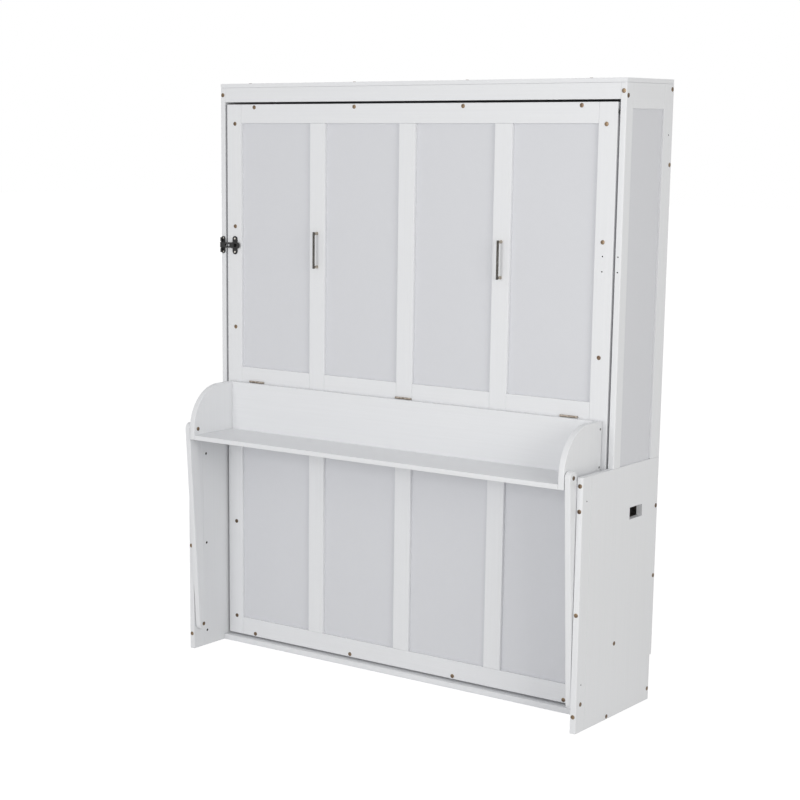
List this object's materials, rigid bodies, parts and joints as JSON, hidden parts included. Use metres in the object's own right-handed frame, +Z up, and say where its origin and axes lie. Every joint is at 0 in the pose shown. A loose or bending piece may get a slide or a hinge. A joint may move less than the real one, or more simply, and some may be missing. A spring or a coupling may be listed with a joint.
{
  "type": "wall bed with fold down desk",
  "caption": "Upright fold-down wall bed in a painted wooden cabinet, with a desk that stays level on its face, swing arms, pull handles and a side latch.",
  "frame": {"origin": "on the floor, in the plane of the closed bed's face, midway between the sides; it lies on the underside of the base board", "axes": "+X to the right seen from the room, +Y from the room to the wall, +Z up"},
  "size_m": [1.743, 0.58, 2.1855],
  "materials": {
    "white_paint": "white satin painted board",
    "grey_sheet": "pale grey textured thin panel",
    "pine": "bare pine",
    "bronze_bolt": "bronze plated, socket button head",
    "steel": "zinc plated",
    "black_iron": "black powder coat",
    "dark_bronze": "dark bronze",
    "rubber": "black rubber"
  },
  "bodies": {
    "cabinet": {"top_board": "white_paint", "header_rail": "white_paint", "left_front_post": "white_paint", "right_front_post": "white_paint", "left_rear_stile": "white_paint", "right_rear_stile": "white_paint", "side_top_rails": "white_paint", "side_sheets": "grey_sheet", "left_lower_stile": "white_paint", "right_lower_stile": "white_paint", "left_lower_panel": "white_paint", "right_lower_panel": "white_paint", "base_board": "white_paint", "back_rails": "white_paint", "back_sheets": "grey_sheet", "top_board_screws": "bronze_bolt", "frame_bolts": "bronze_bolt", "stile_bolts": "bronze_bolt", "barrel_nuts": "steel", "bed_pivot_bolts": "bronze_bolt", "pivot_spacers": "steel", "arm_pivot_bolts": "bronze_bolt", "arm_washers": "steel", "gap_buffer": "rubber", "latch_hasp_plate": "black_iron", "hasp_screws": "steel"},
    "bed": {"latch_keeper": "black_iron", "keeper_screws": "steel", "left_bed_stile": "white_paint", "right_bed_stile": "white_paint", "bed_top_rail": "white_paint", "bed_bottom_rail": "white_paint", "bed_mid_rails": "white_paint", "bed_mullions": "white_paint", "upper_bed_sheets": "grey_sheet", "lower_bed_sheets": "grey_sheet", "left_bed_side": "white_paint", "right_bed_side": "white_paint", "bed_head_board": "white_paint", "bed_foot_board": "white_paint", "slat_ledgers": "pine", "bed_slats": "pine", "bed_face_bolts": "bronze_bolt", "pivot_bushes": "steel", "handle_bars": "dark_bronze", "handle_feet": "bronze_bolt", "bed_hinge_leaves": "bronze_bolt", "hinge_pins": "steel"},
    "desk": {"desk_back": "white_paint", "desk_shelf": "white_paint", "left_desk_end": "white_paint", "right_desk_end": "white_paint", "desk_hinge_leaves": "bronze_bolt", "desk_screws": "steel", "desk_glides": "rubber"},
    "left_arm": {"left_swing_arm": "white_paint", "left_arm_bolt": "bronze_bolt"},
    "right_arm": {"right_swing_arm": "white_paint", "right_arm_bolt": "bronze_bolt"},
    "latch": {"latch_loop": "black_iron"}
  },
  "joints": [
    {"name": "bed_fold", "type": "hinge", "parent": "cabinet", "child": "bed", "pos_m": [0, 0.048, 0.266], "axis": [1, 0, 0], "range_deg": [0, 90]},
    {"name": "desk_hinge", "type": "hinge", "parent": "bed", "child": "desk", "pos_m": [0, -0.0036, 1.0529], "axis": [1, 0, 0], "range_deg": [-90, 0]},
    {"name": "left_arm_swing", "type": "hinge", "parent": "cabinet", "child": "left_arm", "pos_m": [-0.835, -0.175, 0.1], "axis": [1, 0, 0], "range_deg": [0, 90]},
    {"name": "right_arm_swing", "type": "hinge", "parent": "cabinet", "child": "right_arm", "pos_m": [0.835, -0.175, 0.1], "axis": [1, 0, 0], "range_deg": [0, 90]},
    {"name": "latch_swing", "type": "hinge", "parent": "cabinet", "child": "latch", "pos_m": [-0.863, -0.009, 1.576], "axis": [0, 0, 1], "range_deg": [-170, 0]}
  ],
  "couplings": [
    {"joint": "desk_hinge", "follows": "bed_fold", "ratio": -1},
    {"joint": "left_arm_swing", "follows": "bed_fold", "ratio": 1},
    {"joint": "right_arm_swing", "follows": "bed_fold", "ratio": 1}
  ]
}
